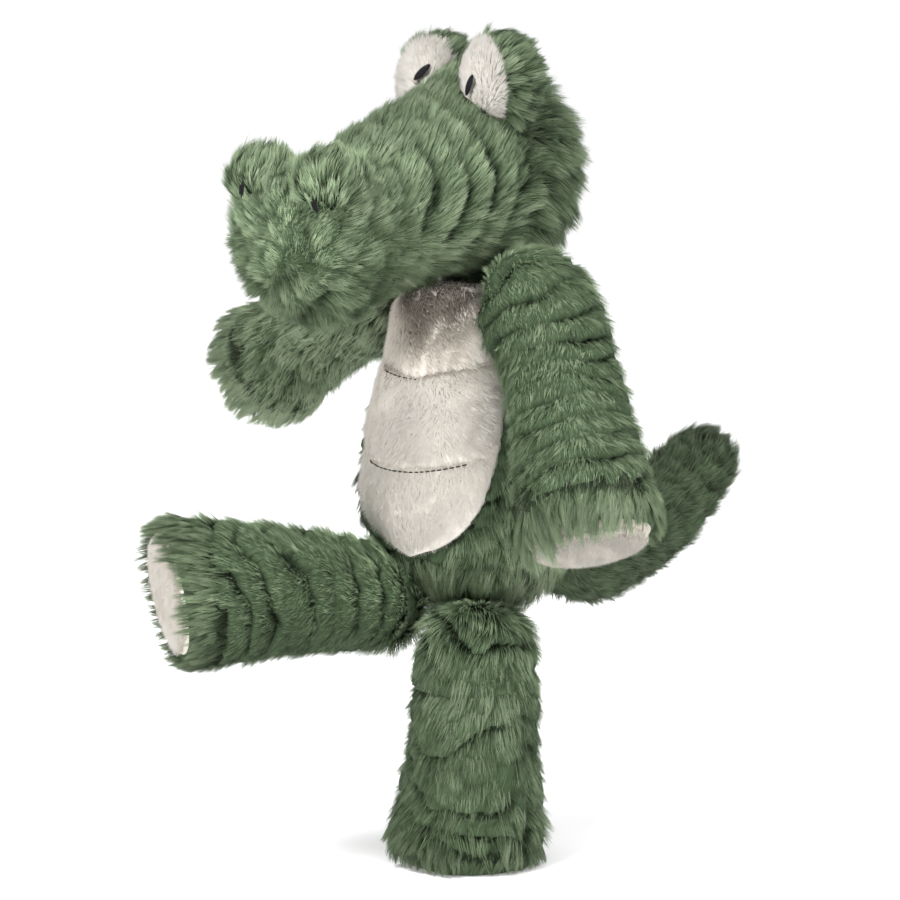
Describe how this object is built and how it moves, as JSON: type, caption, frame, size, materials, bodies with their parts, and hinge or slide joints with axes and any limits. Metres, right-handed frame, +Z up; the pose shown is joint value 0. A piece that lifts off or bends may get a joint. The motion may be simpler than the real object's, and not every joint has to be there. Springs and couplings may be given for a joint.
{
  "type": "stuffed toy crocodile",
  "caption": "Long-pile stuffed toy crocodile standing on one leg with the other leg and arms held out, cream belly and pads, thick tail.",
  "frame": {"origin": "centre of the flat sole of the left foot, on the floor", "axes": "+Z up, the toy faces -Y and its left side is at +X"},
  "size_m": [0.3181, 0.3636, 0.415],
  "materials": {
    "long_pile": "long brushed pile",
    "short_pile": "short smooth pile",
    "fibre": "loose polyester fibre",
    "thread": "satin embroidery thread",
    "pellet_cloth": "woven bag of plastic pellets"
  },
  "bodies": {
    "torso": {"torso_skin": "long_pile", "belly_panel": "short_pile", "torso_filling": "fibre", "pellet_bag": "pellet_cloth", "belly_stitch_upper": "thread", "belly_stitch_lower": "thread"},
    "neck_seam": {"neck_knot": "long_pile"},
    "head": {"head_skin": "long_pile", "head_filling": "fibre", "eye_hood_left": "long_pile", "eye_white_left": "short_pile", "pupil_left": "thread", "nostril_lobe_left": "long_pile", "nostril_stitch_left": "thread", "eye_hood_right": "long_pile", "eye_white_right": "short_pile", "pupil_right": "thread", "nostril_lobe_right": "long_pile", "nostril_stitch_right": "thread"},
    "arm_left_seam": {"arm_left_knot": "long_pile"},
    "arm_left": {"arm_left_skin": "long_pile", "arm_left_filling": "fibre", "arm_left_pad": "short_pile"},
    "arm_right_seam": {"arm_right_knot": "long_pile"},
    "arm_right": {"arm_right_skin": "long_pile", "arm_right_filling": "fibre", "arm_right_pad": "short_pile"},
    "leg_left_seam": {"leg_left_knot": "long_pile"},
    "leg_left": {"leg_left_skin": "long_pile", "leg_left_filling": "fibre", "leg_left_pad": "short_pile"},
    "leg_right_seam": {"leg_right_knot": "long_pile"},
    "leg_right": {"leg_right_skin": "long_pile", "leg_right_filling": "fibre", "leg_right_pad": "short_pile"},
    "tail_seam": {"tail_knot": "long_pile"},
    "tail": {"tail_skin": "long_pile", "tail_filling": "fibre"}
  },
  "joints": [
    {"name": "neck_turn", "type": "hinge", "parent": "torso", "child": "neck_seam", "pos_m": [-0.0095, 0.01813, 0.291], "axis": [0, 0, -1], "range_deg": [-30, 30]},
    {"name": "neck_nod", "type": "hinge", "parent": "neck_seam", "child": "head", "pos_m": [-0.0095, 0.01813, 0.291], "axis": [0.9919, -0.1271, 0], "range_deg": [-12, 12]},
    {"name": "shoulder_left_raise", "type": "hinge", "parent": "torso", "child": "arm_left_seam", "pos_m": [0.0235, 0.01089, 0.282], "axis": [0, -1, 0], "range_deg": [0, 50]},
    {"name": "shoulder_left_swing", "type": "hinge", "parent": "arm_left_seam", "child": "arm_left", "pos_m": [0.0235, 0.01089, 0.282], "axis": [-1, 0, 0], "range_deg": [0, 20]},
    {"name": "shoulder_right_raise", "type": "hinge", "parent": "torso", "child": "arm_right_seam", "pos_m": [-0.0425, 0.01089, 0.282], "axis": [0, 1, 0], "range_deg": [-12, 25]},
    {"name": "shoulder_right_swing", "type": "hinge", "parent": "arm_right_seam", "child": "arm_right", "pos_m": [-0.0425, 0.01089, 0.282], "axis": [0, 0, -1], "range_deg": [-45, 10]},
    {"name": "hip_left_swing", "type": "hinge", "parent": "torso", "child": "leg_left_seam", "pos_m": [0.0125, -0.00612, 0.129], "axis": [-1, 0, 0], "range_deg": [-25, 60]},
    {"name": "hip_left_splay", "type": "hinge", "parent": "leg_left_seam", "child": "leg_left", "pos_m": [0.0125, -0.00612, 0.129], "axis": [0, -1, 0], "range_deg": [-4, 30]},
    {"name": "hip_right_swing", "type": "hinge", "parent": "torso", "child": "leg_right_seam", "pos_m": [-0.0315, -0.00612, 0.129], "axis": [-0.9291, 0.3697, 0], "range_deg": [-50, 0]},
    {"name": "hip_right_splay", "type": "hinge", "parent": "leg_right_seam", "child": "leg_right", "pos_m": [-0.0315, -0.00612, 0.129], "axis": [0, 0, -1], "range_deg": [-10, 40]},
    {"name": "tail_wag", "type": "hinge", "parent": "torso", "child": "tail_seam", "pos_m": [-0.0095, 0.07258, 0.156], "axis": [0, 0, 1], "range_deg": [-20, 20]},
    {"name": "tail_lift", "type": "hinge", "parent": "tail_seam", "child": "tail", "pos_m": [-0.0095, 0.07258, 0.156], "axis": [1, 0, 0], "range_deg": [-15, 20]}
  ]
}
